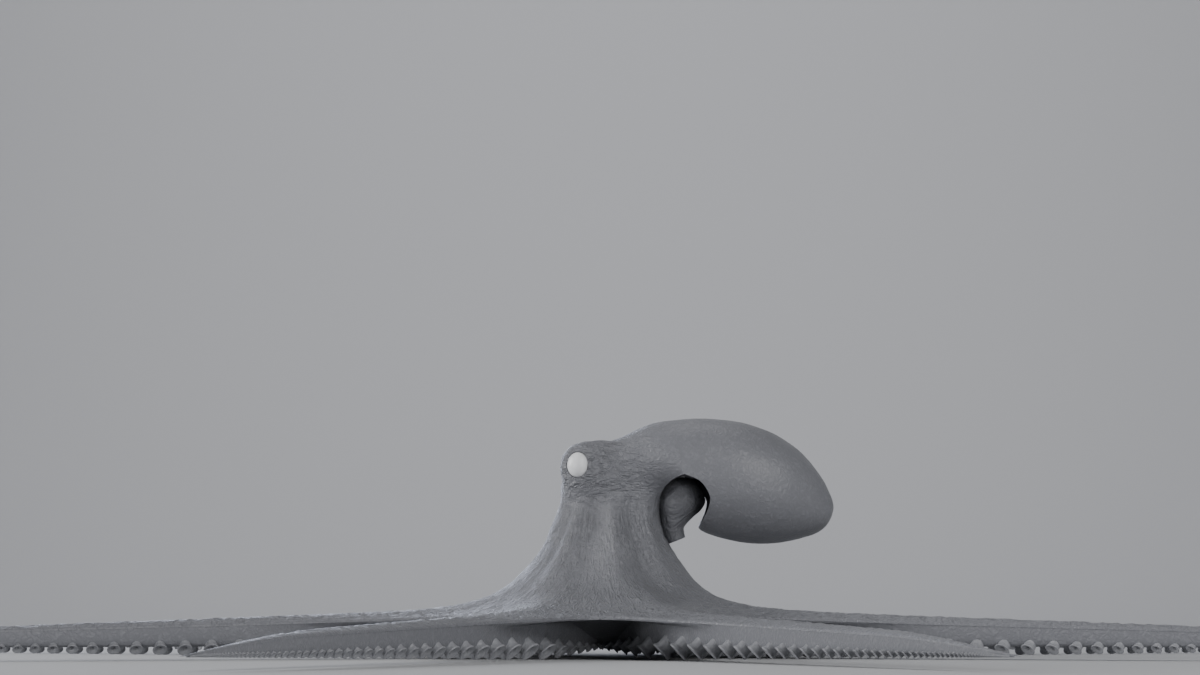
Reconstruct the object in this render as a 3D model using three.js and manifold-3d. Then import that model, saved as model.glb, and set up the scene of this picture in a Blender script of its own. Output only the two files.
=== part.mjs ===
// A whole raw octopus of about 2 kg, set up on its arms: the eight arms lie straight out like
// a star, the web joins their roots, and the head rises from the crown and bends over to the
// right, so that the mantle hangs level beside it with its mouth towards the neck.
// Millimetres, +Z up. The origin is on the ground under the centre of the crown, the mantle
// points to +X, and the head and mantle are alike on both sides of the XZ plane.
import * as THREE from "three";
import { mergeVertices } from "three/addons/utils/BufferGeometryUtils.js";
import Module from "manifold-3d";

const wasm = await Module();
wasm.setup();

// Arms
const ARM_COUNT = 8;
const ARM_SPACING = (2 * Math.PI) / ARM_COUNT;
const HALF_SPACING = ARM_SPACING / 2;
const ARM_LENGTH = 500; // from the centre of the crown to the tip
const TAPER_START = 370; // from here the arm runs out to its point
const UNDERSIDE = 7.5; // height of the flat sucker side above the ground
const RIDGE_AT_CENTRE = 23.8; // height of the back of the arm above its underside, at the centre
const RIDGE_SLOPE = 0.0345; // and what it loses for each millimetre outwards
const CREST_DROP_AT_CENTRE = 5.4; // the side crest lies this far below the back of the arm
const CREST_DROP_SLOPE = 0.0103;
const HALF_WIDTH_AT_CENTRE = 14;
const HALF_WIDTH_SLOPE = 0.0215;
const ARM_ROOT = 24; // where the arm's own solid starts, inside the crown
const ARM_ROOT_HEIGHT = 15.5;
const BACK_SHOULDER = { across: 0.62, drop: 0.3 }; // on the back, half-way to the crest
const SIDE_MIDDLE = { across: 0.92, up: 0.4 }; // on the side, below the crest
const UNDERSIDE_WIDTH = 0.72; // of the arm's width
const ARM_SIDES = 9;
const ARM_STEPS = 11;

// Web and crown
const WEB_DEPTH = 112; // from the centre to the free edge, half-way between two arms
const WEB_REACH = 120; // the edge runs into the arm's crest this much farther out
const WEB_EDGE_HEIGHT = 24.7; // top of the free edge above the ground
const WEB_THICKNESS = 3;
const WEB_OVERLAP = 175; // the web's solid ends here inside the arm
const WEB_EDGE_HALVINGS = 24; // steps that find the web's edge
const WEB_BELOW_RIDGE = 0.6; // the web's upper face stays this far inside the arm's back
const NECK_FOOT_RADIUS = 44;
const NECK_FOOT_HEIGHT = 56.6;
const NECK_CENTRE_X = 3.5;
const FLARE_LENGTH = 21; // the flare of the neck loses 63% of its height over this distance
const NECK_CORE_RADIUS = 38; // the flare rises no further inside this distance
const NECK_CORE_LIFT = 1.5; // and reaches this far above the foot of the neck
const MOUTH_HEIGHT = 9; // underside of the crown above the ground, at the mouth
const MOUTH_RADIUS = 34;
const CROWN_SEGMENTS = 48;
const CROWN_RINGS = [0, 38, 46, 57, 75]; // distances from the centre, on the upper face
const CROWN_UNDER_RINGS = [0, 34, 55, 82]; // and on the under face

// Suckers, in two rows of stalked cups along each arm, the rows set half a step apart
const SUCKER_SIZE = { largest: 12.7, atCentre: 16.6, slope: 0.03 }; // diameter of the cup
const SUCKER_REACH = { largest: UNDERSIDE, atCentre: 9.38, slope: 0.0179 }; // below the arm
const INNER_REACH_SLOPE = 0.0772; // towards the mouth the reach shrinks with the distance
const INNER_SIZE = { until: 103, power: 1.3 }; // and the diameter with a power of it
const SUCKER_LINE = { end: 503.4, start: 409, shrink: 0.059, shrinkMore: 0.00006 };
const SUCKER_TILT = Math.PI / 4; // the cups look outwards and down
const SUCKER_ROW_YAW = { 1: -0.1, [-1]: -0.35 }; // turn about Z, left row and right row
const SUCKER_ROW_OFFSET = 15; // distance of a row from the middle of the arm, at the centre
const SUCKER_ROWS_MEET = 540; // both rows would meet at this distance from the centre
const SUCKER_LENGTH = 1.8; // of the stalk with the cup, to half the diameter
const SUCKER_STALK = 0.8; // half width of the stalk, to half the diameter
const SUCKER_DISH = 0.3; // depth of the cup, to half the diameter
const SUCKER_SIDES = 5;
const SUCKERS_IN_ROW = 8; // the largest ones, outwards from the web
const INNER_SUCKERS = { 1: [87.3, 72], [-1]: [78, 66] }; // distances from the centre

// Rings of the neck, the head and the mantle, from the crown to the mantle's tip: where the
// ring crosses the back (x, z), where it crosses the belly side (x, z), and its half width.
// A sixth number below 1 squares off the belly side, where the head's flesh is full.
const TRUNK_RINGS = [
  [4, 20, 4, 20, 0],
  [-36, 26, 44, 26, 38],
  [-40, 48, 48, 48, 42],
  [-39.2, 58, 47, 58, 41.5],
  [-33.2, 67.6, 41.1, 67.6, 36],
  [-29.8, 76.1, 37.4, 76.1, 31, 0.9],
  [-26.2, 84.5, 35.5, 83.9, 27.5, 0.75],
  [-23.5, 93, 35.7, 91.7, 26, 0.65],
  [-22.2, 105, 39.5, 96.5, 25.5, 0.6],
  [-13.5, 117, 45, 98, 27, 0.6],
  [-3, 124.5, 50, 97, 29.5, 0.6],
  [12, 131, 54, 95, 32.5, 0.6],
  [30, 139.2, 56.5, 90, 35, 0.65],
  [48, 142.1, 58, 80, 36.2, 0.8],
  [62.6, 142.8, 62, 74.9, 38],
  [82.1, 141.1, 75, 70.4, 39.5],
  [100, 135.7, 90, 67.9, 38.5],
  [114, 127.9, 104, 67.9, 34.5],
  [125, 118, 116, 69.8, 28],
  [133.5, 106.6, 127, 72.8, 20],
  [138.3, 97, 134.5, 77, 12],
  [140.2, 88.5, 140.2, 88.5, 0],
];
const TRUNK_SIDES = 22;
const TRUNK_STEPS = 25;

// Hollow of the mantle, with the same kind of rings, 4 mm inside the skin
const HOLLOW_RINGS = [
  [56, 104, 56, 104, 0],
  [57, 122, 58, 82, 26],
  [66, 135, 66, 79, 33.5],
  [81, 137, 76, 74.6, 35.5],
  [98.5, 131.8, 91, 72, 34.5],
  [111.8, 124.5, 104.6, 71.9, 30.5],
  [122, 115, 115.5, 74, 24],
  [129.5, 104.5, 125, 77.5, 16],
  [134.5, 92, 134.5, 92, 0],
];
const HOLLOW_SIDES = 16;
const HOLLOW_STEPS = 10;

// Side view (x, z) of the mantle's mouth: up along the neck, then the rim from top to bottom
const MOUTH_CUT_LEFT = [
  [56, 68],
  [47, 68],
  [41, 80],
  [36.2, 92],
  [37, 98.5],
  [42, 104.6],
];
const MOUTH_RIM = [
  [51, 108.6],
  [62.6, 104],
  [66.5, 96.9],
  [65.2, 90.4],
  [62.6, 82.6],
  [58.7, 75],
];
const MOUTH_CUT_WIDTH = 120;
const MOUTH_RIM_STEPS = 9;

// Funnel: a round bulb at the neck with a short tube down, cut off square
const BULB = { x: 49.2, z: 93.7, radius: 14, sides: 12, steps: 8 };
const FUNNEL_SIDES = 12;
const FUNNEL_STEPS = 8;
const FUNNEL_BORE_SIDES = 8;
const FUNNEL_BORE_STEPS = 5;
const FUNNEL_RINGS = [
  [48, 92, 48, 92, 0],
  [37.5, 90, 57, 92, 9.5],
  [37, 82, 53.5, 83, 8],
  [37.4, 75.5, 50.2, 76.5, 6.6],
  [41, 68, 51, 71.8, 5.4],
  [46, 69.9, 46, 69.9, 0],
];
const FUNNEL_BORE_RINGS = [
  [46, 82, 46, 82, 0],
  [43, 80, 48.6, 81, 2.8],
  [43.2, 66.5, 50, 69.1, 3.4],
  [47, 65, 47, 65, 0],
];

// Eyes, each on a round rise at the side of the head
const EYE_RISE = { x: -9.2, y: 14.5, z: 113.4, radius: 14.1, sides: 14, steps: 9 };
const EYE_TURN = THREE.MathUtils.degToRad(20); // how far the eye looks backwards
const EYE_LIFT = THREE.MathUtils.degToRad(2);
const EYE_HALF = { along: 6.5, up: 7.5, deep: 5 };
const EYE_SIDES = 16;
const EYE_STEPS = 10;
const EYE_STANDS_OUT = 2.3;
const EYE_GAP = 0.3;

const skinMaterial = new THREE.MeshStandardMaterial({
  color: 0x74757b,
  roughness: 0.5,
  metalness: 0,
});
const eyeMaterial = new THREE.MeshStandardMaterial({
  color: 0xc4c5c8,
  roughness: 0.3,
  metalness: 0,
});

// A closed three.js geometry as a solid.
function solidOf(geometry) {
  const shape = geometry.clone();
  shape.deleteAttribute("normal");
  shape.deleteAttribute("uv");
  const merged = mergeVertices(shape, 1e-4);
  const corners = [];
  for (let i = 0; i < merged.index.count; i += 3) {
    const [a, b, c] = [0, 1, 2].map((k) => merged.index.getX(i + k));
    if (a !== b && b !== c && c !== a) corners.push(a, b, c);
  }
  return new wasm.Manifold(
    new wasm.Mesh({
      numProp: 3,
      vertProperties: new Float32Array(merged.attributes.position.array),
      triVerts: new Uint32Array(corners),
    }),
  );
}

// A solid as a three.js geometry with flat faces.
function geometryOf(solid) {
  const mesh = solid.getMesh();
  const geometry = new THREE.BufferGeometry();
  const places = new THREE.BufferAttribute(mesh.vertProperties.slice(), 3);
  geometry.setAttribute("position", places);
  geometry.setIndex(new THREE.BufferAttribute(mesh.triVerts.slice(), 1));
  const flat = geometry.toNonIndexed();
  flat.computeVertexNormals();
  return flat;
}

// A closed tube or bag from pole to pole: place(turn, run) gives the point at turn 0..1 round
// the axis and run 0..1 along it, for each vertex of a sphere. A bag whose turn runs the other
// way is inside out, so it is wound again in the other sense.
function bag(sides, steps, place, sense = 1) {
  const geometry = new THREE.SphereGeometry(1, sides, steps);
  const position = geometry.attributes.position;
  for (let step = 0; step <= steps; step++)
    for (let side = 0; side <= sides; side++) {
      const corner = (((sense * side) % sides) + sides) % sides;
      const point = place(corner / sides, step / steps);
      position.setXYZ(step * (sides + 1) + side, point.x, point.y, point.z);
    }
  const made = solidOf(geometry);
  return made.volume() > 0 ? made : bag(sides, steps, place, -sense);
}

// A bag through rings given as [back x, back z, belly x, belly z, half width, squareness].
function ringBag(rings, sides, steps) {
  const backs = rings.map(([x, z]) => new THREE.Vector3(x, 0, z));
  const bellies = rings.map(([, , x, z]) => new THREE.Vector3(x, 0, z));
  const widths = rings.map(([, , , , width, square = 1]) => new THREE.Vector3(0, width, square));
  const [back, belly, width] = [backs, bellies, widths].map(
    (points) => new THREE.CatmullRomCurve3(points, false, "catmullrom", 0.5),
  );
  return bag(sides, steps, (turn, run) => {
    const angle = turn * 2 * Math.PI;
    const high = back.getPoint(run);
    const low = belly.getPoint(run);
    const point = low.clone().lerp(high, 0.5 + 0.5 * Math.cos(angle));
    const { y: half, z: square } = width.getPoint(run);
    const power = 1 + (square - 1) * (0.5 - 0.5 * Math.cos(angle));
    point.y = -half * Math.sign(Math.sin(angle)) * Math.abs(Math.sin(angle)) ** power;
    return point;
  });
}

// Sizes along an arm, at a distance from the centre of the crown
const tipShare = (r) =>
  r < TAPER_START
    ? 1
    : 1 - ((r - TAPER_START) / (ARM_LENGTH - TAPER_START)) ** 2;
const ridge = (r) => (RIDGE_AT_CENTRE - RIDGE_SLOPE * r) * tipShare(r);
const crestDrop = (r) =>
  (CREST_DROP_AT_CENTRE - CREST_DROP_SLOPE * r) * tipShare(r);
const halfWidth = (r) =>
  (HALF_WIDTH_AT_CENTRE - HALF_WIDTH_SLOPE * r) * tipShare(r);
const flare = (r) =>
  (NECK_FOOT_HEIGHT - UNDERSIDE - ridge(NECK_FOOT_RADIUS)) *
  Math.exp(-(r - NECK_FOOT_RADIUS) / FLARE_LENGTH);

// Half the angle that the web and the arm fill round the centre, at a distance from it
function webHalfAngle(r) {
  if (r <= WEB_DEPTH) return HALF_SPACING;
  const armAngle = Math.asin(halfWidth(r) / r);
  const share = Math.min(1, (r - WEB_DEPTH) / WEB_REACH);
  const armAngleAtWeb = Math.asin(halfWidth(WEB_DEPTH) / WEB_DEPTH);
  return armAngle + (HALF_SPACING - armAngleAtWeb) * (1 - Math.sqrt(share)) ** 2;
}

// Distance of the web's edge from the centre, at an angle from the nearest arm
function webRadius(angle) {
  let near = WEB_DEPTH;
  let far = WEB_OVERLAP;
  for (let i = 0; i < WEB_EDGE_HALVINGS; i++) {
    const middle = (near + far) / 2;
    if (webHalfAngle(middle) > angle) near = middle;
    else far = middle;
  }
  return near;
}

// Cross-section of an arm over its left half, from the back to the middle of the underside,
// as shares of the half width and heights above the underside.
function armSection(r) {
  const top = ridge(r);
  const crest = top - crestDrop(r);
  return [
    [0, top],
    [BACK_SHOULDER.across, top - BACK_SHOULDER.drop * crestDrop(r)],
    [1, crest],
    [SIDE_MIDDLE.across, SIDE_MIDDLE.up * crest],
    [UNDERSIDE_WIDTH, 0],
  ];
}

function arm() {
  return bag(ARM_SIDES, ARM_STEPS, (turn, run) => {
    if (run === 0) return new THREE.Vector3(ARM_ROOT, 0, ARM_ROOT_HEIGHT);
    if (run === 1) return new THREE.Vector3(ARM_LENGTH, 0, UNDERSIDE);
    const step = run * ARM_STEPS - 1;
    const r = ARM_ROOT + ((ARM_LENGTH - ARM_ROOT) * step * (ARM_STEPS + 1)) / ARM_STEPS ** 2;
    const corner = Math.round(turn * ARM_SIDES);
    const left = corner < ARM_SIDES / 2;
    const [across, height] = armSection(r)[left ? corner : ARM_SIDES - corner];
    const side = left ? -1 : 1;
    return new THREE.Vector3(r, side * across * halfWidth(r), UNDERSIDE + height);
  });
}

// The crown with the web: a disc turned about Z, its rim drawn out along the arms
function crown() {
  const profile = [
    ...CROWN_RINGS.map((radius) => new THREE.Vector2(radius, 1)),
    new THREE.Vector2(WEB_OVERLAP, 1),
    new THREE.Vector2(WEB_OVERLAP, -1),
    ...CROWN_UNDER_RINGS.map((radius) => new THREE.Vector2(radius, -1)).reverse(),
  ].reverse();
  const geometry = new THREE.LatheGeometry(profile, CROWN_SEGMENTS);
  const position = geometry.attributes.position;
  for (let i = 0; i < position.count; i++) {
    const ring = profile[i % profile.length];
    const turn = Math.floor(i / profile.length) % CROWN_SEGMENTS;
    const azimuth = (turn / CROWN_SEGMENTS) * 2 * Math.PI;
    const fromArm = Math.abs((azimuth % ARM_SPACING) - HALF_SPACING);
    const r = Math.min(ring.x, webRadius(fromArm));
    const x = r * Math.cos(azimuth);
    const y = r * Math.sin(azimuth);
    position.setXYZ(i, x, y, crownHeight(x, y, r, fromArm, ring.y > 0));
  }
  return solidOf(geometry);
}

function crownHeight(x, y, r, fromArm, upper) {
  const between = (1 - Math.cos((fromArm / HALF_SPACING) * Math.PI)) / 2;
  const onArm = UNDERSIDE + ridge(r) - WEB_BELOW_RIDGE;
  const dip = UNDERSIDE + ridge(WEB_DEPTH) - WEB_EDGE_HEIGHT;
  const fromNeck = Math.max(NECK_CORE_RADIUS, Math.hypot(x - NECK_CENTRE_X, y));
  const rise = flare(fromNeck);
  const top = onArm - dip * between * Math.min(1, r / WEB_DEPTH) + rise;
  if (upper) return Math.min(top, NECK_FOOT_HEIGHT + NECK_CORE_LIFT);
  const share = THREE.MathUtils.clamp(
    (r - MOUTH_RADIUS) / (WEB_DEPTH - MOUTH_RADIUS),
    0,
    1,
  );
  const webUnder = WEB_EDGE_HEIGHT - WEB_THICKNESS;
  const hollow = MOUTH_HEIGHT + (webUnder - MOUTH_HEIGHT) * Math.sin((share * Math.PI) / 2);
  return Math.min(hollow, top - WEB_THICKNESS);
}

// Distance of the n-th sucker from the centre: the steps shrink towards the tip
const suckerRadius = (n) =>
  SUCKER_LINE.end -
  SUCKER_LINE.start * Math.exp(-SUCKER_LINE.shrink * n - SUCKER_LINE.shrinkMore * n * n);

const suckerSize = (r) =>
  Math.min(
    SUCKER_SIZE.largest * Math.min(1, r / INNER_SIZE.until) ** INNER_SIZE.power,
    SUCKER_SIZE.atCentre - SUCKER_SIZE.slope * r,
  );

const suckerReach = (r) =>
  Math.min(
    SUCKER_REACH.largest,
    INNER_REACH_SLOPE * r,
    SUCKER_REACH.atCentre - SUCKER_REACH.slope * r,
  );

function sucker(r, side) {
  const rim = suckerSize(r) / 2;
  const cup = new THREE.LatheGeometry(
    [
      new THREE.Vector2(0, -SUCKER_LENGTH * rim),
      new THREE.Vector2(SUCKER_STALK * rim, -SUCKER_LENGTH * rim),
      new THREE.Vector2(rim, 0),
      new THREE.Vector2(0, -SUCKER_DISH * rim),
    ],
    SUCKER_SIDES,
  );
  const outward = new THREE.Vector3(0, side * Math.cos(SUCKER_TILT), -Math.sin(SUCKER_TILT));
  outward.applyAxisAngle(new THREE.Vector3(0, 0, 1), SUCKER_ROW_YAW[side]);
  const level = new THREE.Vector3(0, 0, 1).cross(outward).normalize();
  const down = level.clone().cross(outward);
  const turn = new THREE.Matrix4().makeBasis(level, outward, down);
  const offset = SUCKER_ROW_OFFSET * (1 - r / SUCKER_ROWS_MEET);
  const height = UNDERSIDE - suckerReach(r) + rim * Math.cos(SUCKER_TILT);
  turn.setPosition(r, side * offset, height);
  cup.applyMatrix4(turn);
  return solidOf(cup);
}

function suckersOfArm() {
  const all = [];
  for (const side of [1, -1]) {
    for (const r of INNER_SUCKERS[side]) all.push(sucker(r, side));
    const first = side === 1 ? 0.5 : 0;
    for (let n = 0; n < SUCKERS_IN_ROW; n++)
      all.push(sucker(suckerRadius(first + n), side));
  }
  return all;
}

// Neck, head and mantle with its hollow, open at the mouth, and the funnel inside it
function trunk() {
  const skin = ringBag(TRUNK_RINGS, TRUNK_SIDES, TRUNK_STEPS);
  const hollow = ringBag(HOLLOW_RINGS, HOLLOW_SIDES, HOLLOW_STEPS);
  const rim = new THREE.SplineCurve(MOUTH_RIM.map(([x, z]) => new THREE.Vector2(x, z)));
  const outline = new THREE.Shape([
    ...MOUTH_CUT_LEFT.map(([x, z]) => new THREE.Vector2(x, z)),
    ...rim.getPoints(MOUTH_RIM_STEPS),
  ]);
  const mouth = new THREE.ExtrudeGeometry(outline, {
    depth: MOUTH_CUT_WIDTH,
    bevelEnabled: false,
  });
  mouth.rotateX(Math.PI / 2);
  mouth.translate(0, MOUTH_CUT_WIDTH / 2, 0);
  const rises = [1, -1].map((side) => {
    const rise = new THREE.SphereGeometry(EYE_RISE.radius, EYE_RISE.sides, EYE_RISE.steps);
    rise.translate(EYE_RISE.x, side * EYE_RISE.y, EYE_RISE.z);
    return solidOf(rise);
  });
  const bulb = new THREE.SphereGeometry(BULB.radius, BULB.sides, BULB.steps);
  bulb.translate(BULB.x, 0, BULB.z);
  const tube = ringBag(FUNNEL_RINGS, FUNNEL_SIDES, FUNNEL_STEPS);
  const bore = ringBag(FUNNEL_BORE_RINGS, FUNNEL_BORE_SIDES, FUNNEL_BORE_STEPS);
  const funnel = solidOf(bulb).add(tube).subtract(bore);
  return skin
    .subtract(hollow)
    .subtract(solidOf(mouth))
    .add(funnel)
    .add(rises[0])
    .add(rises[1]);
}

function eye(side, extra) {
  const shape = new THREE.SphereGeometry(1, EYE_SIDES, EYE_STEPS);
  const { along, up, deep } = EYE_HALF;
  shape.scale(along + extra, deep + extra, up + extra);
  shape.rotateX(-side * EYE_LIFT);
  shape.rotateZ(side * EYE_TURN);
  const looks = new THREE.Vector3(
    -Math.sin(EYE_TURN) * Math.cos(EYE_LIFT),
    side * Math.cos(EYE_TURN) * Math.cos(EYE_LIFT),
    Math.sin(EYE_LIFT),
  );
  const centre = looks.multiplyScalar(EYE_RISE.radius + EYE_STANDS_OUT - deep);
  shape.translate(
    centre.x + EYE_RISE.x,
    centre.y + side * EYE_RISE.y,
    centre.z + EYE_RISE.z,
  );
  return shape;
}

function octopusBody() {
  let star = crown();
  const oneArm = suckersOfArm().reduce((sum, cup) => sum.add(cup), arm());
  for (let n = 0; n < ARM_COUNT; n++) {
    const azimuth = THREE.MathUtils.radToDeg(HALF_SPACING + n * ARM_SPACING);
    star = star.add(oneArm.rotate([0, 0, azimuth]));
  }
  return star
    .add(trunk())
    .subtract(solidOf(eye(1, EYE_GAP)))
    .subtract(solidOf(eye(-1, EYE_GAP)));
}

const octopus = new THREE.Group();

const body = new THREE.Mesh(geometryOf(octopusBody()), skinMaterial);
body.name = "octopus_body";
octopus.add(body);

for (const [name, side] of [
  ["eye_left", 1],
  ["eye_right", -1],
]) {
  const ball = new THREE.Mesh(eye(side, 0), eyeMaterial);
  ball.name = name;
  octopus.add(ball);
}

export default octopus;
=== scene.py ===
import math
import random

import bmesh
import bpy
from mathutils import Matrix, Vector, noise


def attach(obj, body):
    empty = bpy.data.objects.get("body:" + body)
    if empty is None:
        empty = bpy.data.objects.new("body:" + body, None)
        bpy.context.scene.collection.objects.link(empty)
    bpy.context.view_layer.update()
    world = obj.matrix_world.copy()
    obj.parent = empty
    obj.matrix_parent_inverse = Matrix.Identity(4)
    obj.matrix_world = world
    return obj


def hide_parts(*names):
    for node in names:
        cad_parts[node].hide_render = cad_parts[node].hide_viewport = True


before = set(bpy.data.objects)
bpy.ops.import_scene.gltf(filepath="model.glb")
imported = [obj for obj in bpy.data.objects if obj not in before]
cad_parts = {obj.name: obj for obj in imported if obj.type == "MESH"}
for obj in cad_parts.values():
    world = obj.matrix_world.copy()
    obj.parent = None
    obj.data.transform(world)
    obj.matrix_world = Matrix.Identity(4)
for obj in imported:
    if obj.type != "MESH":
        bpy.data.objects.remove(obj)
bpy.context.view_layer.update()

# Arms, web and crown of a raw octopus: one sheet of muscle and skin, in millimetres here. An arm
# is a long taper with a rounded back, a sharp crest along each side, where the web grew, and a
# flat side with the suckers below. The thin web ends in a free edge between each two arms.
MM = 0.001
ARM_COUNT = 8
ARM_SPACING = 2 * math.pi / ARM_COUNT
HALF_SPACING = ARM_SPACING / 2
ARM_LENGTH = 500
TAPER_START = 370
THINNEST_TIP = 0.0004
UNDERSIDE = 7.5
WEB_DEPTH = 112
WEB_REACH = 120
WEB_EDGE_LIFT = 1.5
WEB_EDGE_DIP = 3.8
EDGE_ROUND = 1.4
NECK_FOOT = 43.3
NECK_FOOT_HEIGHT = 58
NECK_FOOT_X = 3.7
NECK_FOOT_SQUASH = 41.5 / NECK_FOOT
NECK_BLEND = 25
FLARE_LENGTH = 21
HUMP_SPREAD = 14
BACK_COLUMNS = 24
BELLY_COLUMNS = 16
CROWN_ROWS = 30
ARM_ROWS = 170
MOUTH_ROWS = 12
ROW_CROWDING = 1.6
LIP_RADIUS = 8.5
LIP_HEIGHT = 2.2
LIP_SPREAD = 2.6
MOUTH_DEPTH = 5
MOUTH_FIELD_HEIGHT = 1.2
MOUTH_FIELD = (4, 20)
CROWN_HOLLOW_HEIGHT = 15.2
CROWN_HOLLOW = (30, 88)


def ease(low, high, value):
    share = max(0.0, min(1.0, (value - low) / (high - low)))
    return share * share * (3 - 2 * share)


def mix(a, b, share):
    return a + (b - a) * share


def tip_share(r):
    return max(THINNEST_TIP, 1 - (max(0.0, r - TAPER_START) / (ARM_LENGTH - TAPER_START)) ** 2)


def ridge(r):
    return (23.8 - 0.0345 * r) * tip_share(r)


def crest(r):
    return ridge(r) - (5.4 - 0.0103 * r) * tip_share(r)


def half_width(r):
    return (14 - 0.0215 * r) * tip_share(r)


def flare(r):
    foot = NECK_FOOT_HEIGHT - UNDERSIDE - ridge(NECK_FOOT)
    return foot * math.exp(-(r - NECK_FOOT) / FLARE_LENGTH)


def web_half_angle(r):
    if r <= WEB_DEPTH:
        return HALF_SPACING
    arm_angle = math.asin(half_width(r) / r)
    at_web = math.asin(half_width(WEB_DEPTH) / WEB_DEPTH)
    share = min(1.0, (r - WEB_DEPTH) / WEB_REACH)
    return arm_angle + (HALF_SPACING - at_web) * (1 - math.sqrt(share)) ** 2


def crest_lip(r):
    return min(1.1, 0.2 * crest(r))


def side_height(r):
    if r < WEB_DEPTH:
        rise = ease(NECK_FOOT, NECK_FOOT + 20, r)
        return UNDERSIDE + ridge(r) + flare(r) - WEB_EDGE_DIP * rise * (r / WEB_DEPTH) ** 1.5
    share = min(1.0, (r - WEB_DEPTH) / WEB_REACH)
    return UNDERSIDE + crest(r) + WEB_EDGE_LIFT * (1 - share) ** 2


def round_off(distance):
    inward = 1 - min(1.0, distance / EDGE_ROUND)
    return math.sqrt(max(0.0, 1 - inward * inward))


def in_crown(r, angle, height):
    near = math.exp(-(max(r, NECK_FOOT) - NECK_FOOT) / NECK_BLEND)
    squash = mix(1, NECK_FOOT_SQUASH, near)
    shift = NECK_FOOT_X * near if r >= NECK_FOOT else 0
    return Vector((shift + r * math.cos(angle), squash * r * math.sin(angle), height))


def back_of_arm(r, column):
    if r >= ARM_LENGTH:
        return 0, UNDERSIDE
    even = 2 * column / BACK_COLUMNS - 1
    share = mix(even, math.sin(even * math.pi / 2), 0.5 * ease(60, 105, r))
    half_angle = web_half_angle(r)
    across = abs(share) * half_angle * r
    reach = half_angle * r
    edge_level = math.exp(-((reach / HUMP_SPREAD) ** 2))
    hump = (math.exp(-((across / HUMP_SPREAD) ** 2)) - edge_level) / (1 - edge_level)
    low = side_height(r)
    high = UNDERSIDE + ridge(r) + flare(r)
    to_edge = math.hypot(max(0.0, WEB_DEPTH - r), reach - across)
    height = mix(low, high, hump) - (1 - round_off(to_edge)) * crest_lip(r)
    return share * half_angle, height


# Lines of the sucker side from the crest to the middle: how far out and how high each lies, as
# shares of the arm's half width and of its crest, how far it follows the web outwards, and how
# far below the web's top it stays there.
WALL_OUT = (1, 0.97, 0.96, 0.935, 0.9, 0.83, 0.7, 0.36, 0)
WALL_UP = (1, 0.95, 0.8, 0.58, 0.34, 0.15, 0.03, 0, 0.02)
WEB_SHARE = (1, 0.985, 0.6, 0.25, 0.06, 0, 0, 0, 0)
WEB_UNDER = (0, 2.0, 2.7, 3.0, 4.2, 0, 0, 0, 0)


def belly_of_arm(r, column):
    if r >= ARM_LENGTH:
        return 0, UNDERSIDE
    half = BELLY_COLUMNS // 2
    line = min(column, BELLY_COLUMNS - column)
    side = -1 if column < half else 1
    width = half_width(max(r, 1))
    reach = web_half_angle(r) * r
    beyond = max(0.0, reach - width)
    across = min(reach, width * WALL_OUT[line] + beyond * WEB_SHARE[line])
    if reach < width:
        across = reach * (1 - line / half)
    up = crest(r) * WALL_UP[line]
    web = ease(0, 9, beyond)
    if WEB_SHARE[line] > 0.05:
        top = side_height(r) - UNDERSIDE
        up = mix(up, top - WEB_UNDER[line], web)
    if line == 0:
        up = side_height(r) - UNDERSIDE - crest_lip(r)
        if r < WEB_DEPTH:
            up -= 1.5 * round_off(WEB_DEPTH - r) + 0.02 * (WEB_DEPTH - r)
    if r < WEB_DEPTH:
        inner = min(up, MOUTH_FIELD_HEIGHT)
        under_crown = mix(inner, min(up, CROWN_HOLLOW_HEIGHT), ease(*CROWN_HOLLOW, r))
        up = mix(MOUTH_FIELD_HEIGHT, under_crown, ease(*MOUTH_FIELD, r))
    if r < 2.5 * LIP_RADIUS:
        up -= LIP_HEIGHT * math.exp(-(((r - LIP_RADIUS) / LIP_SPREAD) ** 2))
        up += MOUTH_DEPTH * (1 - ease(0, LIP_RADIUS, r))
    angle = 0 if r < 0.01 else side * across / r
    return angle, UNDERSIDE + up


def sheet(mesh, rows, columns, place):
    made = bmesh.ops.create_grid(mesh, x_segments=rows, y_segments=columns, size=0.5)
    for vertex in made["verts"]:
        row = round((vertex.co.x + 0.5) * rows)
        column = round((vertex.co.y + 0.5) * columns)
        vertex.co = place(row, column)
    return made["verts"]


crown_radii = [
    WEB_DEPTH - (WEB_DEPTH - NECK_FOOT) * (1 - row / CROWN_ROWS) ** ROW_CROWDING
    for row in range(CROWN_ROWS)
]
arm_radii = [
    WEB_DEPTH + (ARM_LENGTH - WEB_DEPTH) * (row / ARM_ROWS) ** ROW_CROWDING
    for row in range(ARM_ROWS + 1)
]
mouth_radii = [NECK_FOOT * row / MOUTH_ROWS for row in range(MOUTH_ROWS)]
back_radii = crown_radii + arm_radii
belly_radii = mouth_radii + back_radii

flesh = bmesh.new()
for arm in range(ARM_COUNT):
    azimuth = HALF_SPACING + arm * ARM_SPACING

    def back_place(row, column):
        angle, height = back_of_arm(back_radii[row], column)
        return in_crown(back_radii[row], azimuth + angle, height)

    def belly_place(row, column):
        angle, height = belly_of_arm(belly_radii[row], column)
        return in_crown(belly_radii[row], azimuth + angle, height)

    sheet(flesh, len(back_radii) - 1, BACK_COLUMNS, back_place)
    sheet(flesh, len(belly_radii) - 1, BELLY_COLUMNS, belly_place)


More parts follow.
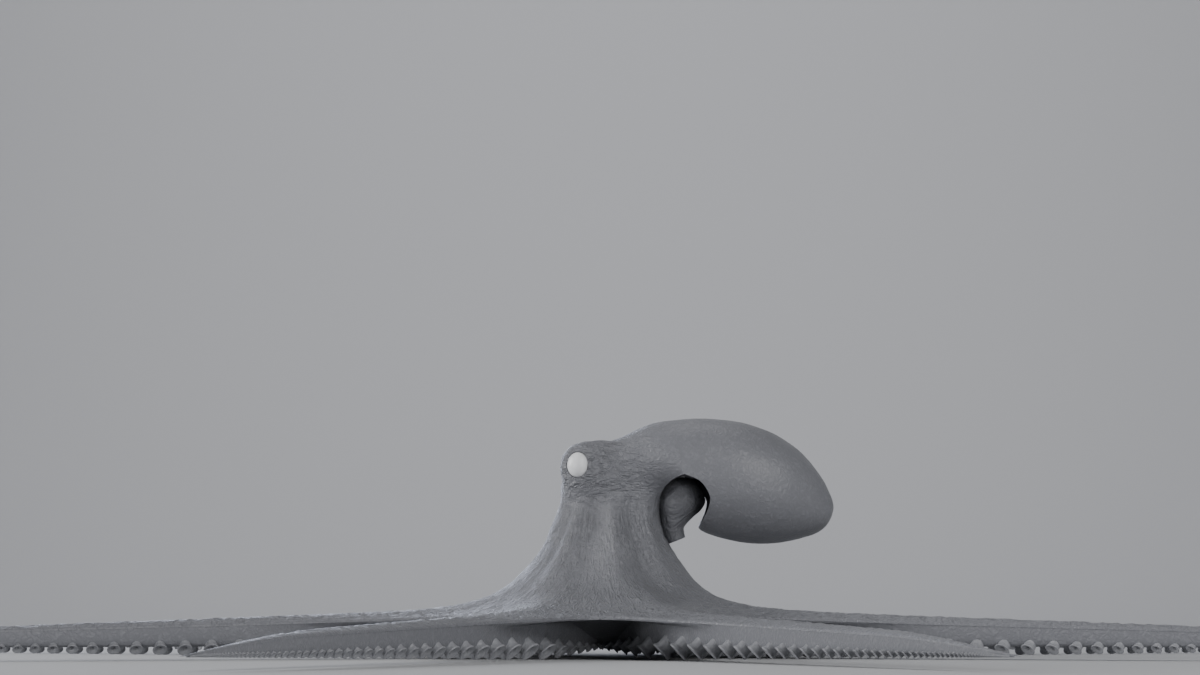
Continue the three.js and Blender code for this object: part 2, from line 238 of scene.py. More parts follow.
# Neck, head and mantle: the same skin goes on upwards, bends over at the head and ends in the
# mantle, a bag of muscle. A ring is where it crosses the back (x, z) and the belly side (x, z),
# its half width, and a number below 1 where its belly side is squared off.
TRUNK_RINGS = (
    (-39.6, 58, 47, 58, 41.5, 1),
    (-33.2, 67.6, 41.1, 67.6, 36, 1),
    (-29.8, 76.1, 37.4, 76.1, 31, 0.9),
    (-26.2, 84.5, 35.5, 83.9, 27.5, 0.75),
    (-23.5, 93, 35.7, 91.7, 26, 0.65),
    (-22.2, 105, 39.5, 96.5, 25.5, 0.6),
    (-13.5, 117, 45, 98, 26, 0.6),
    (-3, 124.5, 50, 97, 27, 0.6),
    (12, 131, 54, 95, 29.5, 0.6),
    (30, 139.2, 56.5, 90, 33.5, 0.65),
    (48, 142.1, 58, 80, 36.4, 0.8),
    (62.6, 142.8, 62, 74.9, 38, 1),
    (82.1, 141.1, 75, 70.4, 39.5, 1),
    (100, 135.7, 90, 67.9, 38.5, 1),
    (114, 127.9, 104, 67.9, 34.5, 1),
    (125, 118, 116, 69.8, 28, 1),
    (133.5, 106.6, 127, 72.8, 20, 1),
    (138.3, 97, 134.5, 77, 12, 1),
    (139.9, 92, 138.6, 82.8, 6, 1),
    (140.2, 88.5, 140.2, 88.5, 0, 1),
)
TRUNK_ROWS = 130
HEAD_END = 0.6
MANTLE_START = 11
EYE_RISE = Vector((-9.2, 14.5, 113.4))
EYE_RISE_RADIUS = 14.1
EYE_RISE_BLEND = 1.6
EYE_RISE_REACH = 32
EYE_RISE_DROOP = 0.8
SAME_POINT = 0.001


def smooth_between(a, b, c, d, u):
    straight = (c - a) * u
    bend = (2 * a - 5 * b + 4 * c - d) * u**2
    twist = (3 * b - a - 3 * c + d) * u**3
    return 0.5 * (2 * b + straight + bend + twist)


def through(rings, run):
    last = len(rings) - 1
    place = run * last
    first = min(int(place), last - 1)
    near = [rings[max(0, min(last, first + step))] for step in (-1, 0, 1, 2)]
    return [smooth_between(*values, place - first) for values in zip(*near)]


def on_ring(ring, angle):
    back_x, back_z, belly_x, belly_z, width = ring[:5]
    square = ring[5] if len(ring) > 5 else 1
    along = (1 + math.cos(angle)) / 2
    across = math.sin(angle)
    side = width * math.copysign(abs(across) ** mix(square, 1, along), across)
    return Vector((mix(belly_x, back_x, along), -side, mix(belly_z, back_z, along)))


def ring_centre(ring):
    back_x, back_z, belly_x, belly_z = ring[:4]
    return Vector(((back_x + belly_x) / 2, 0, (back_z + belly_z) / 2))


def eye_rise_centre(side):
    return Vector((EYE_RISE.x, side * EYE_RISE.y, EYE_RISE.z))


def dome(apart, steepness):
    shoulder = steepness * EYE_RISE_RADIUS
    if apart < shoulder:
        return math.sqrt(EYE_RISE_RADIUS**2 - apart**2)
    level = math.sqrt(EYE_RISE_RADIUS**2 - shoulder**2)
    return level - (apart - shoulder) * shoulder / level


def raise_eye(point, outward):
    for side in (1, -1):
        to_point = point - eye_rise_centre(side)
        to_point.z *= EYE_RISE_DROOP if to_point.z < 0 else 1
        along = to_point.dot(outward)
        apart = math.sqrt(max(0.0, to_point.length_squared - along * along))
        steepness = mix(0.8, 0.5, ease(0, 8, -to_point.z))
        lift = (dome(apart, steepness) - along) / EYE_RISE_BLEND
        if lift > -6 and to_point.length < EYE_RISE_REACH:
            point = point + outward * EYE_RISE_BLEND * math.log1p(math.exp(lift))
    return point


def trunk_place(row, column):
    ring = through(TRUNK_RINGS, row / TRUNK_ROWS)
    sector = column // BACK_COLUMNS
    even = column % BACK_COLUMNS / BACK_COLUMNS
    azimuth = (sector + even) * ARM_SPACING
    point = on_ring(ring, azimuth - math.pi)
    outward = point - ring_centre(ring)
    if 0 < row < TRUNK_ROWS * HEAD_END and outward.length > 1:
        point = raise_eye(point, outward.normalized())
    return point


sheet(flesh, TRUNK_ROWS, ARM_COUNT * BACK_COLUMNS, trunk_place)
bmesh.ops.remove_doubles(flesh, verts=flesh.verts, dist=SAME_POINT)
bmesh.ops.recalc_face_normals(flesh, faces=flesh.faces)
if flesh.calc_volume(signed=True) < 0:
    bmesh.ops.reverse_faces(flesh, faces=flesh.faces)


# The skin's own relief: long folds run from the neck into the arms, and it is wrinkled nearly
# all over, lengthways on the crown and arms, level round the eyes and like leather on the neck.
# The mantle is only a little uneven. A fold is its direction and spread in degrees, its height.
NECK_FOLDS = ((-127, 8, 3.2), (-106, 9, -2.4), (-82, 9, 2.2), (-60, 8, -2.6), (-43, 8, 1.8))
FOLDS_START = (34, 50)
FOLDS_END = (80, 100)
FOLDS_REACH = 70
ARM_WRINKLE_LENGTH = 15
ARM_WRINKLE_HEIGHT = 0.4
ARM_LUMP_LENGTH = 5
ARM_LUMP_HEIGHT = 0.42
CROWN_CALM = 0.45
CALM_CROWN = (45, 95)
CROWN_TOP = (50, 66)
WEB_CALM = (0.5, 7)
NECK_START = (40, 55)
NECK_END = (88, 100)
NECK_RIGHT_SIDE = (58, 68)
NECK_GRAIN = 4.5
NECK_GRAIN_HEIGHT = 0.36
HEAD_START = (62, 80)
HEAD_CREASE = (7, 7, 2.6)
HEAD_FINE_CREASE = (3.4, 3.4, 2.2)
HEAD_CREASE_HEIGHT = 0.16
EYE_CREASE_HEIGHT = 0.44
EYE_CREASES = (16, 42)
MANTLE_FROM = (35, 70)
MANTLE_LUMP = 9
MANTLE_LUMP_HEIGHT = 0.22


def neck_fold(point):
    strength = ease(*FOLDS_START, point.z) * (1 - ease(*FOLDS_END, point.z))
    if strength == 0 or point.x > FOLDS_REACH:
        return 0
    azimuth = math.degrees(math.atan2(-abs(point.y), point.x - NECK_FOOT_X))
    lifts = [high * math.exp(-(((azimuth - at) / spread) ** 2)) for at, spread, high in NECK_FOLDS]
    return strength * sum(lifts)


def crinkle(place):
    return 1 - 2.6 * abs(noise.noise(place))


def crinkle_of(size, point):
    return crinkle(Vector(distance / width for distance, width in zip(point, size)))


def edge_distance(point):
    r = math.hypot(point.x, point.y)
    off_middle = math.atan2(point.y, point.x) % ARM_SPACING - HALF_SPACING
    to_side = max(0.0, web_half_angle(r) - abs(off_middle)) * r
    return math.hypot(max(0.0, WEB_DEPTH - r), to_side)


def lengthways(point, outward):
    r = math.hypot(point.x, point.y)
    if r >= ARM_LENGTH:
        return 0
    radial = Vector((point.x, point.y, 0)) / max(r, 1)
    wrinkle_run = Vector((0, 0, r / ARM_WRINKLE_LENGTH + point.z / 12))
    lump_run = Vector((0, 0, (r + point.z) / ARM_LUMP_LENGTH))
    wrinkles = crinkle(radial * (6 + 0.1 * r) + wrinkle_run)
    lumps = crinkle(radial * (11 + 0.2 * r) + lump_run)
    height = wrinkles * ARM_WRINKLE_HEIGHT + lumps * ARM_LUMP_HEIGHT
    height *= mix(CROWN_CALM, 1, ease(*CALM_CROWN, r)) * min(1, ridge(r) / 10)
    if point.z < 60:
        height *= ease(0.3, 0.7, outward.z) * ease(*WEB_CALM, edge_distance(point))
    return height * (1 - ease(*CROWN_TOP, point.z))


def neck_grain(point):
    on_neck = ease(*NECK_START, point.z) * (1 - ease(*NECK_END, point.z))
    on_neck *= 1 - ease(*NECK_RIGHT_SIDE, point.x)
    return crinkle(point / NECK_GRAIN) * NECK_GRAIN_HEIGHT * on_neck


def head_and_mantle(point):
    on_head = ease(*HEAD_START, point.z)
    mantle = ease(*MANTLE_FROM, point.x) * on_head
    level = 0.65 * crinkle_of(HEAD_CREASE, point) + 0.35 * crinkle_of(HEAD_FINE_CREASE, point)
    to_eye = point - eye_rise_centre(math.copysign(1, point.y))
    round_eye = 1 - ease(*EYE_CREASES, to_eye.length)
    folded = (HEAD_CREASE_HEIGHT + EYE_CREASE_HEIGHT * round_eye) * level
    uneven = (noise.noise(point / MANTLE_LUMP) - 1.1) * MANTLE_LUMP_HEIGHT
    return on_head * (1 - mantle) * folded + mantle * uneven


def relief(point, outward):
    skin_height = lengthways(point, outward) + neck_grain(point) + head_and_mantle(point)
    return skin_height + neck_fold(point)


flesh.normal_update()
shifts = [relief(vertex.co, vertex.normal) for vertex in flesh.verts]
normals = [vertex.normal.copy() for vertex in flesh.verts]
for vertex, shift, outward in zip(flesh.verts, shifts, normals):
    vertex.co += outward * shift
bmesh.ops.scale(flesh, vec=(MM, MM, MM), verts=flesh.verts)


def add_piece(name, mesh, material, node):
    data = bpy.data.meshes.new(name)
    mesh.to_mesh(data)
    mesh.free()
    data.shade_smooth()
    data.materials.append(material)
    piece = bpy.data.objects.new(name, data)
    bpy.context.scene.collection.objects.link(piece)
    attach(piece, "root")
    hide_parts(node)
    return piece


# Raw octopus skin: thin, moist and finely crinkled over muscle, and grey. The creases of its fine
# leathery grain are painted a little darker, as shade, so the raised parts read lighter. Its wet
# surface gives broad soft highlights, never a mirror. Widths are in millimetres, and heights are
# shares of a millimetre of bump.
STREAKS_AROUND = 22
STREAK_LENGTH = 16.667
STREAK_HEIGHT = 2.6
CRINKLE_WIDTH = 6.667
CRINKLE_HEIGHT = 2.2
HEAD_CRINKLE_SQUEEZE = 2.2
HEAD_CRINKLE_HEIGHT = 3.6
LEATHER_WIDTH = 3.333
LEATHER_HEIGHT = 0.9
FACES_UP = (0.2, 0.6)
NECK_SKIN = (40, 55)
HEAD_SKIN = (80, 100)
MANTLE_SKIN = (10, 50)
UNDER_MANTLE_X = (58, 66)
UNDER_MANTLE_Z = (60, 66)


def linear(colour):
    channels = [int(colour[start : start + 2], 16) / 255 for start in (1, 3, 5)]
    return [c / 12.92 if c <= 0.04045 else ((c + 0.055) / 1.055) ** 2.4 for c in channels] + [1]


def add_node(tree, kind, settings=None, **links):
    node = tree.nodes.new(kind)
    for name, value in (settings or {}).items():
        if name in node.inputs:
            node.inputs[name].default_value = value
        else:
            setattr(node, name, value)
    for name, source in links.items():
        tree.links.new(source, node.inputs[name.replace("_", " ")])
    return node


def new_material(name):
    material = bpy.data.materials.new(name)
    material.use_nodes = True
    tree = material.node_tree
    return material, tree, tree.nodes["Principled BSDF"]


def maths(tree, operation, first, second):
    node = tree.nodes.new("ShaderNodeMath")
    node.operation = operation
    for socket, value in zip(node.inputs, (first, second)):
        if isinstance(value, (int, float)):
            socket.default_value = value
        else:
            tree.links.new(value, socket)
    return node.outputs["Value"]


def ramp(tree, value, low, high):
    settings = {"From Min": low, "From Max": high}
    return add_node(tree, "ShaderNodeMapRange", settings, Value=value).outputs["Result"]


def ramp_mm(tree, value, span):
    return ramp(tree, value, span[0] * MM, span[1] * MM)


def vector_maths(tree, settings, *sources):
    node = add_node(tree, "ShaderNodeVectorMath", settings)
    for socket, source in zip(node.inputs, sources):
        tree.links.new(source, socket)
    return node.outputs


def creases(tree, vector, scale, detail, distortion):
    settings = {"Scale": scale, "Detail": detail, "Distortion": distortion}
    cloud = add_node(tree, "ShaderNodeTexNoise", settings, Vector=vector).outputs["Fac"]
    return maths(tree, "ABSOLUTE", maths(tree, "SUBTRACT", cloud, 0.5), 0)


def along_the_arms(tree, axes):
    level = add_node(tree, "ShaderNodeCombineXYZ", X=axes["X"], Y=axes["Y"]).outputs["Vector"]
    distance = vector_maths(tree, {"operation": "LENGTH"}, level)["Value"]
    direction = vector_maths(tree, {"operation": "NORMALIZE"}, level)["Vector"]
    stretch = {"operation": "SCALE", "Scale": STREAKS_AROUND}
    around = vector_maths(tree, stretch, direction)["Vector"]
    outwards = maths(tree, "SUBTRACT", distance, axes["Z"])
    outwards = maths(tree, "MULTIPLY", outwards, 1 / (STREAK_LENGTH * MM))
    lift = add_node(tree, "ShaderNodeCombineXYZ", Z=outwards).outputs["Vector"]
    return vector_maths(tree, {"operation": "ADD"}, around, lift)["Vector"]


def octopus_skin(name, painted_crease_shade, light, wrinkled):
    material, tree, surface = new_material(name)
    coordinates = add_node(tree, "ShaderNodeTexCoord").outputs
    place = coordinates["Object"]
    axes = add_node(tree, "ShaderNodeSeparateXYZ", Vector=place).outputs
    normal = add_node(tree, "ShaderNodeSeparateXYZ", Vector=coordinates["Normal"]).outputs
    squeeze = {"Scale": (1, 1, HEAD_CRINKLE_SQUEEZE)}
    squeezed = add_node(tree, "ShaderNodeMapping", squeeze, Vector=place).outputs["Vector"]

    streaks = creases(tree, along_the_arms(tree, axes), 1, 3, 0.8)
    head_crinkles = creases(tree, squeezed, 1 / (CRINKLE_WIDTH * MM), 2, 1.0)
    crinkles = creases(tree, place, 1 / (CRINKLE_WIDTH * MM), 3, 0.6)
    leather = creases(tree, place, 1 / (LEATHER_WIDTH * MM), 2, 0.3)

    under_x = ramp_mm(tree, axes["X"], UNDER_MANTLE_X)
    under_mantle = maths(tree, "MULTIPLY", under_x, ramp_mm(tree, axes["Z"], UNDER_MANTLE_Z))
    on_head = maths(tree, "MAXIMUM", ramp_mm(tree, axes["Z"], HEAD_SKIN), under_mantle)
    on_mantle = maths(tree, "MULTIPLY", on_head, ramp_mm(tree, axes["X"], MANTLE_SKIN))
    head = maths(tree, "SUBTRACT", on_head, on_mantle)
    faces_up = ramp(tree, normal["Z"], *FACES_UP)
    back = maths(tree, "MAXIMUM", faces_up, ramp_mm(tree, axes["Z"], NECK_SKIN))
    back = maths(tree, "MULTIPLY", back, maths(tree, "SUBTRACT", 1, on_head))

    streaks = maths(tree, "MULTIPLY", streaks, STREAK_HEIGHT)
    crinkles = maths(tree, "MULTIPLY", crinkles, CRINKLE_HEIGHT)
    on_back = maths(tree, "MULTIPLY", maths(tree, "ADD", streaks, crinkles), back)
    head_crinkles = maths(tree, "MULTIPLY", head_crinkles, HEAD_CRINKLE_HEIGHT)
    on_head = maths(tree, "MULTIPLY", head_crinkles, head)
    height = maths(tree, "MULTIPLY", maths(tree, "ADD", on_back, on_head), wrinkled)
    height = maths(tree, "ADD", height, maths(tree, "MULTIPLY", leather, LEATHER_HEIGHT))

    # Painted shade: the base colour is darker in the creases of the leathery grain and lighter on
    # the raised skin between them.
    tone = add_node(tree, "ShaderNodeMix", {"data_type": "RGBA"})
    tree.links.new(ramp(tree, leather, 0, 0.2), tone.inputs["Factor"])
    tone.inputs["A"].default_value = linear(painted_crease_shade)
    tone.inputs["B"].default_value = linear(light)
    tree.links.new(tone.outputs["Result"], surface.inputs["Base Color"])
    bump = add_node(tree, "ShaderNodeBump", {"Strength": 1, "Distance": MM}, Height=height)
    tree.links.new(bump.outputs["Normal"], surface.inputs["Normal"])
    surface.inputs["Roughness"].default_value = 0.39
    surface.inputs["IOR"].default_value = 1.38
    return material


skin = octopus_skin("raw_octopus_skin", "#75767b", "#7d7e83", 1)
body = add_piece("arms_web_and_mantle", flesh, skin, "octopus_body")


# The hollow of the mantle and its mouth, and the sockets of the eyes, cut out of the flesh. The
# mantle's wall is a few millimetres thick and ends in a thin free rim towards the neck.
MANTLE_WALL = 2.6
HOLLOW_ROWS = 60
HOLLOW_COLUMNS = 64
HOLLOW_START = ((54, 104, 54, 104, 0), (55.5, 124, 57, 83, 27))
HOLLOW_END = (136, 90, 136, 90, 0)
MOUTH_LEFT = (
    (56, 68),
    (47, 68),
    (41, 80),
    (36.6, 91),
    (35.9, 95),
    (37, 98.5),
    (39.2, 102),
    (42, 104.6),
    (45, 106.3),
    (48, 107.5),
)
MOUTH_RIM = (
    (50, 108),
    (57.8, 104.8),
    (62, 100.5),
    (64.6, 95.5),
    (64.9, 92),
    (63.6, 87),
    (61, 81.5),
    (57.6, 75.3),
)
MOUTH_HALF_DEPTH = 60
RIM_STEPS = 28
RING_SAME_POINT = 0.004


def inner_ring(ring):
    back = Vector((ring[0], 0, ring[1]))
    belly = Vector((ring[2], 0, ring[3]))
    inward = (belly - back).normalized() * MANTLE_WALL
    back += inward
    belly -= inward
    return (back.x, back.z, belly.x, belly.z, ring[4] - MANTLE_WALL)


def cut(tool_mesh):
    bmesh.ops.recalc_face_normals(tool_mesh, faces=tool_mesh.faces)
    bmesh.ops.scale(tool_mesh, vec=(MM, MM, MM), verts=tool_mesh.verts)
    data = bpy.data.meshes.new("cutter")
    tool_mesh.to_mesh(data)
    tool_mesh.free()
    tool = bpy.data.objects.new("cutter", data)
    bpy.context.scene.collection.objects.link(tool)
    knife = body.modifiers.new("knife", "BOOLEAN")
    knife.operation = "DIFFERENCE"
    knife.solver = "MANIFOLD"
    knife.object = tool
    result = body.evaluated_get(bpy.context.evaluated_depsgraph_get())
    shaped = bpy.data.meshes.new_from_object(result)
    body.modifiers.remove(knife)
    body.data = shaped
    bpy.data.objects.remove(tool)


def closed_bag(rings, rows, columns):
    mesh = bmesh.new()

    def place(row, column):
        return on_ring(through(rings, row / rows), column / columns * 2 * math.pi)

    sheet(mesh, rows, columns, place)
    bmesh.ops.remove_doubles(mesh, verts=mesh.verts, dist=RING_SAME_POINT)
    return mesh


def only(items, kind):
    return [item for item in items if isinstance(item, kind)]


inner_rings = tuple(inner_ring(ring) for ring in TRUNK_RINGS[MANTLE_START:-2])
cut(closed_bag(HOLLOW_START + inner_rings + (HOLLOW_END,), HOLLOW_ROWS, HOLLOW_COLUMNS))

mouth = bmesh.new()
outline = [Vector((x, -MOUTH_HALF_DEPTH, z)) for x, z in MOUTH_LEFT]
for step in range(RIM_STEPS + 1):
    x, z = through(MOUTH_RIM, step / RIM_STEPS)
    outline.append(Vector((x, -MOUTH_HALF_DEPTH, z)))
face = mouth.faces.new([mouth.verts.new(point) for point in outline])
swept = bmesh.ops.extrude_face_region(mouth, geom=[face])["geom"]
far_side = only(swept, bmesh.types.BMVert)
bmesh.ops.translate(mouth, vec=(0, 2 * MOUTH_HALF_DEPTH, 0), verts=far_side)
cut(mouth)


# Eyes: firm wet balls, pale and blank once the animal is dead, standing a little out of the
# socket. The skin closes round them in a thin lid, with a dark line between.
EYE_TURN = math.radians(20)
EYE_LIFT = math.radians(2)
EYE_HALF = (6.5, 5, 7.5)
EYE_STANDS_OUT = 2.3
SOCKET_GAP = 0.4
EYE_AROUND = 64
EYE_RINGS = 40
EYE_CLOUD_WIDTH = 5.556
LID_EDGE = math.radians(50)


def eyeball(mesh, side, extra):
    made = bmesh.ops.create_uvsphere(mesh, u_segments=EYE_AROUND, v_segments=EYE_RINGS, radius=1)
    level = math.cos(EYE_LIFT)
    sideways = side * math.cos(EYE_TURN) * level
    looks = Vector((-math.sin(EYE_TURN) * level, sideways, math.sin(EYE_LIFT)))
    centre = eye_rise_centre(side) + looks * (EYE_RISE_RADIUS + EYE_STANDS_OUT - EYE_HALF[1])
    size = Matrix.Diagonal([half + extra for half in EYE_HALF] + [1])
    lean = Matrix.Rotation(side * EYE_LIFT, 4, "X")
    turn = Matrix.Rotation(side * EYE_TURN, 4, "Z")
    matrix = Matrix.Translation(centre) @ turn @ lean @ size
    bmesh.ops.transform(mesh, matrix=matrix, verts=made["verts"])


for side in (1, -1):
    socket = bmesh.new()
    eyeball(socket, side, SOCKET_GAP)
    cut(socket)
body.data.shade_smooth()
body.data.set_sharp_from_angle(angle=LID_EDGE)


def pale_eye():
    material, tree, surface = new_material("wet_pale_eyeball")
    place = add_node(tree, "ShaderNodeTexCoord").outputs["Object"]
    fine = {"Scale": 1 / (EYE_CLOUD_WIDTH * MM), "Detail": 2}
    cloud = add_node(tree, "ShaderNodeTexNoise", fine, Vector=place)
    tone = add_node(tree, "ShaderNodeMix", {"data_type": "RGBA"})
    tree.links.new(cloud.outputs["Fac"], tone.inputs["Factor"])
    tone.inputs["A"].default_value = linear("#dedfe2")
    tone.inputs["B"].default_value = linear("#eaebed")
    tree.links.new(tone.outputs["Result"], surface.inputs["Base Color"])
    surface.inputs["Roughness"].default_value = 0.35
    return material


eye_finish = pale_eye()
for name, side in (("eye_left", 1), ("eye_right", -1)):
    ball = bmesh.new()
    eyeball(ball, side, 0)
    bmesh.ops.scale(ball, vec=(MM, MM, MM), verts=ball.verts)
    add_piece(name + "_ball", ball, eye_finish, name)


# Funnel: the siphon under the head, a round bulb of muscle with a short tube cut off square. It
# hangs in the mouth of the mantle, where its left side grows out of the neck.
FUNNEL_RINGS = (
    (49.5, 107.6, 49.5, 107.6, 0),
    (44.5, 106.5, 54.4, 106.5, 5.2),
    (38.5, 102.5, 60, 102.5, 10.7),
    (34.8, 94, 63.2, 94, 14),
    (35.2, 87.5, 60.6, 88, 12.3),
    (36, 82.5, 55.6, 83.5, 9.3),
    (37.2, 76.5, 50.6, 78, 6.7),
    (38.6, 72, 50.4, 74.6, 5.9),
    (41.1, 68, 50.9, 71.8, 5.3),
    (41.6, 68.1, 50.4, 71.5, 4.8),
    (42.2, 68.9, 49.6, 71.9, 3.9),
    (41.8, 74, 48, 76, 3.2),
    (42.5, 80, 47.5, 81, 2.6),
    (45.5, 82, 45.5, 82, 0),
)
FUNNEL_ROWS = 90
FUNNEL_COLUMNS = 48

funnel = closed_bag(FUNNEL_RINGS, FUNNEL_ROWS, FUNNEL_COLUMNS)
bmesh.ops.recalc_face_normals(funnel, faces=funnel.faces)
bmesh.ops.scale(funnel, vec=(MM, MM, MM), verts=funnel.verts)
add_piece("funnel", funnel, skin, "octopus_body")


# Suckers: two rows of muscular cups along each arm, on short stalks, with a raised rim, a dished
# face and a deep hole in its middle. They are largest near the web and shrink towards the tip.
# The profile is in cup radii, from the root of the stalk to the bottom of the hole.
CUP_PROFILE = (
    (0.84, -2.3),
    (0.84, -1.6),
    (0.82, -1.0),
    (0.8, -0.55),
    (0.84, -0.3),
    (0.96, -0.13),
    (1, 0),
    (0.93, 0.07),
    (0.82, 0.03),
    (0.58, -0.1),
    (0.38, -0.18),
    (0.32, -0.5),
    (0, -0.7),
)
INNER_SUCKERS = {1: (87.3, 72, 59.5, 49, 40, 32), -1: (78, 66, 54.5, 44, 35.5, 28.5)}
OUTER_SUCKERS = 56
FIRST_OUTER_SUCKER = 94.4
SUCKERS_END = ARM_LENGTH + 3.4
SUCKER_CLOSING = 0.059
SUCKER_CLOSING_FASTER = 0.00006
LAST_SUCKER = ARM_LENGTH - 4
LARGEST_SUCKER = 12.7
LARGEST_SUCKER_AT = 103
SUCKER_PITCH = 0.065
SUCKER_FILLS_PITCH = 0.85
SUCKER_TILT = math.radians(45)
ROW_OFFSET = 15
ROWS_MEET = 540
ROW_YAW = {1: math.radians(-6), -1: math.radians(-20)}
YAW_UNEVEN = 0.04
SMALLEST_SHARE = 0.97
CUP_SAME_POINT = 1e-5
# Cups wider than the first number of a pair, in millimetres, have the second number of sides.
DETAIL = ((7, 20), (4, 14), (0, 8))
dice = random.Random(8)


def cup_template(around):
    mesh = bmesh.new()
    points = [mesh.verts.new((radius, 0, height)) for radius, height in CUP_PROFILE]
    edges = [mesh.edges.new(pair) for pair in zip(points, points[1:])]
    bmesh.ops.spin(
        mesh,
        geom=points + edges,
        cent=(0, 0, 0),
        axis=(0, 0, 1),
        angle=2 * math.pi,
        steps=around,
        use_merge=True,
    )
    bmesh.ops.remove_doubles(mesh, verts=mesh.verts, dist=CUP_SAME_POINT)
    root = [edge for edge in mesh.edges if edge.is_boundary]
    bmesh.ops.holes_fill(mesh, edges=root, sides=0)
    bmesh.ops.recalc_face_normals(mesh, faces=mesh.faces)
    data = bpy.data.meshes.new("cup")
    mesh.to_mesh(data)
    mesh.free()
    return data


def sucker_radius(n):
    left = math.exp(-SUCKER_CLOSING * n - SUCKER_CLOSING_FASTER * n * n)
    return SUCKERS_END - (SUCKERS_END - FIRST_OUTER_SUCKER) * left


def sucker_size(r):
    largest = LARGEST_SUCKER * min(1, r / LARGEST_SUCKER_AT) ** 1.3
    pitch = SUCKER_PITCH * (SUCKERS_END - r)
    return min(largest, 16.6 - 0.03 * r, SUCKER_FILLS_PITCH * pitch)


def sucker_reach(r):
    return min(UNDERSIDE, 0.0772 * r, 9.38 - 0.0179 * r)


def sucker_places(side):
    first = 0.5 if side == 1 else 0
    outer = [sucker_radius(first + n) for n in range(OUTER_SUCKERS)]
    return INNER_SUCKERS[side] + tuple(r for r in outer if r < LAST_SUCKER)


def add_sucker(mesh, radius, side, azimuth):
    size = sucker_size(radius)
    template = next(cups[around] for least, around in DETAIL if size > least)
    before = len(mesh.verts)
    mesh.from_mesh(template)
    mesh.verts.ensure_lookup_table()
    outward = Vector((0, side * math.cos(SUCKER_TILT), -math.sin(SUCKER_TILT)))
    yaw = ROW_YAW[side] + dice.uniform(-YAW_UNEVEN, YAW_UNEVEN)
    outward.rotate(Matrix.Rotation(yaw, 3, "Z"))
    level = Vector((0, 0, 1)).cross(outward).normalized()
    up = outward.cross(level)
    turn = Matrix((level, up, outward)).transposed().to_4x4()
    height = UNDERSIDE - sucker_reach(radius) + size / 2 * math.cos(SUCKER_TILT)
    place = Vector((radius, side * ROW_OFFSET * (1 - radius / ROWS_MEET), height))
    scale = Matrix.Scale(size / 2 * dice.uniform(SMALLEST_SHARE, 1), 4)
    matrix = Matrix.Rotation(azimuth, 4, "Z") @ Matrix.Translation(place) @ turn @ scale
    bmesh.ops.transform(mesh, matrix=Matrix.Scale(MM, 4) @ matrix, verts=mesh.verts[before:])


# The suckers' paler skin gets the same painted shade in the creases of its grain.
sucker_finish = octopus_skin("pale_sucker_muscle", "#8b8c91", "#97989c", 0)
cups = {around: cup_template(around) for _, around in DETAIL}
for name, side in (("suckers_left_rows", 1), ("suckers_right_rows", -1)):
    rows = bmesh.new()
    for arm in range(ARM_COUNT):
        for radius in sucker_places(side):
            add_sucker(rows, radius, side, HALF_SPACING + arm * ARM_SPACING)
    add_piece(name, rows, sucker_finish, "octopus_body")


# The studio: a pale matt floor that curves up into a wall, both clear from their outer side, so
# that the octopus also shows from behind and from below. Soft light comes from the left and the
# front right, low from both sides, weakly from behind on the left, and onto the wall. Metres.
FLOOR_HALF_WIDTH = 12
FLOOR_FRONT = -12
FLOOR_BACK = 3
CURVE_RADIUS = 1.5
CURVE_STEPS = 24
WALL_HEIGHT = 5


def studio_floor():
    mesh = bmesh.new()
    ends = [mesh.verts.new((x, FLOOR_FRONT, 0)) for x in (-FLOOR_HALF_WIDTH, FLOOR_HALF_WIDTH)]
    front = mesh.edges.new(ends)
    swept = bmesh.ops.extrude_edge_only(mesh, edges=[front])["geom"]
    far_ends = only(swept, bmesh.types.BMVert)
    bmesh.ops.translate(mesh, vec=(0, FLOOR_BACK - FLOOR_FRONT, 0), verts=far_ends)
    edges = only(swept, bmesh.types.BMEdge)
    back = next(edge for edge in edges if all(end in far_ends for end in edge.verts))
    turned = bmesh.ops.spin(
        mesh,
        geom=[back] + far_ends,
        cent=(0, FLOOR_BACK, CURVE_RADIUS),
        axis=(1, 0, 0),
        angle=math.pi / 2,
        steps=CURVE_STEPS,
    )["geom_last"]
    top = only(turned, bmesh.types.BMEdge)
    raised = bmesh.ops.extrude_edge_only(mesh, edges=top)["geom"]
    bmesh.ops.translate(mesh, vec=(0, 0, WALL_HEIGHT), verts=only(raised, bmesh.types.BMVert))
    return mesh


def floor_paint():
    material, tree, surface = new_material("pale_matt_studio_floor")
    surface.inputs["Base Color"].default_value = linear("#bcbdbf")
    surface.inputs["Roughness"].default_value = 0.9
    surface.inputs["Specular IOR Level"].default_value = 0.1
    from_behind = add_node(tree, "ShaderNodeNewGeometry").outputs["Backfacing"]
    clear = add_node(tree, "ShaderNodeBsdfTransparent").outputs["BSDF"]
    either = add_node(tree, "ShaderNodeMixShader")
    tree.links.new(from_behind, either.inputs[0])
    tree.links.new(surface.outputs["BSDF"], either.inputs[1])
    tree.links.new(clear, either.inputs[2])
    tree.links.new(either.outputs["Shader"], tree.nodes["Material Output"].inputs["Surface"])
    return material


floor_data = bpy.data.meshes.new("studio_floor")
floor_mesh = studio_floor()
bmesh.ops.recalc_face_normals(floor_mesh, faces=floor_mesh.faces)
floor_mesh.normal_update()
if any(face.normal.z < -0.5 for face in floor_mesh.faces):
    bmesh.ops.reverse_faces(floor_mesh, faces=floor_mesh.faces)
floor_mesh.to_mesh(floor_data)
floor_data.shade_smooth()
floor_data.materials.append(floor_paint())
studio = bpy.data.objects.new("studio_floor", floor_data)
bpy.context.scene.collection.objects.link(studio)


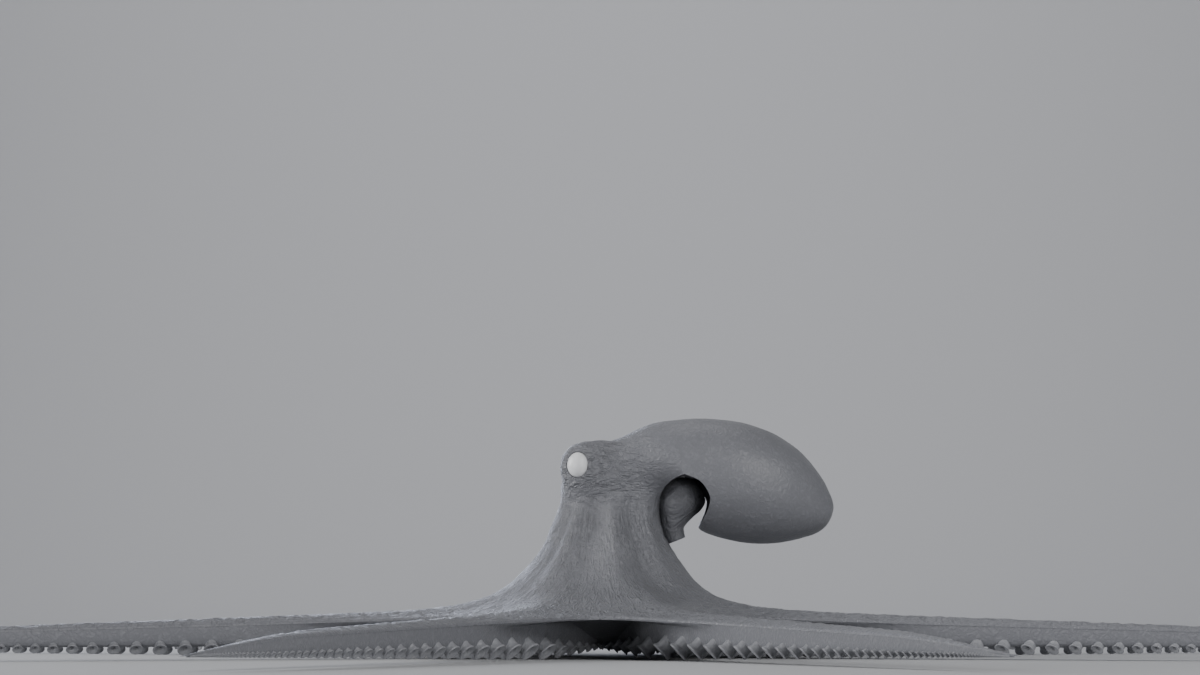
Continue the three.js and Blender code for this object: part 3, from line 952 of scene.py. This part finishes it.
def softbox(name, place, target, size, power, colour):
    lamp = bpy.data.lights.new(name, "AREA")
    lamp.size = size
    lamp.energy = power
    lamp.color = linear(colour)[:3]
    light = bpy.data.objects.new(name, lamp)
    light.location = place
    light.rotation_euler = (Vector(target) - Vector(place)).to_track_quat("-Z", "Y").to_euler()
    bpy.context.scene.collection.objects.link(light)


OCTOPUS = (0, 0, 0.06)
softbox("left_light", (-2.2, 0, 0.8), OCTOPUS, 1.2, 47, "#ffffff")
softbox("front_right_light", (1.1, -1.6, 1.4), OCTOPUS, 1.2, 29, "#ffffff")
softbox("back_left_light", (-0.7, 2.1, 0.55), OCTOPUS, 1.0, 11, "#dfe8ff")
softbox("low_left_light", (-1.6, -1.7, 0.15), OCTOPUS, 0.5, 14, "#ffffff")
softbox("low_right_light", (0.9, -2.1, 0.12), OCTOPUS, 0.5, 12, "#ffffff")
softbox("wall_light", (0, 1.6, 3.2), (0, 4.5, 1.2), 1.6, 90, "#fbfbff")

world = bpy.data.worlds.new("studio_air")
world.use_nodes = True
world.node_tree.nodes["Background"].inputs["Color"].default_value = linear("#dcdde0")
world.node_tree.nodes["Background"].inputs["Strength"].default_value = 0.03
bpy.context.scene.world = world

# The camera stands level with the arms, 1.92 m in front, and looks a little upwards, as the
# row of the photograph's horizon shows.
FOCAL_PIXELS = 3200
IMAGE_WIDTH = 1200
IMAGE_HEIGHT = 675
HORIZON_ROW = 607.5
HORIZON_BELOW_CENTRE = HORIZON_ROW - IMAGE_HEIGHT / 2
SENSOR_WIDTH = 36
CAMERA_PLACE = (0, -1.92, 0.02964)
lens = bpy.data.cameras.new("camera")
lens.sensor_width = SENSOR_WIDTH
lens.lens = FOCAL_PIXELS / IMAGE_WIDTH * SENSOR_WIDTH
camera = bpy.data.objects.new("camera", lens)
camera.location = CAMERA_PLACE
camera.rotation_euler = (math.pi / 2 + math.atan(HORIZON_BELOW_CENTRE / FOCAL_PIXELS), 0, 0)
bpy.context.scene.collection.objects.link(camera)
bpy.context.scene.camera = camera
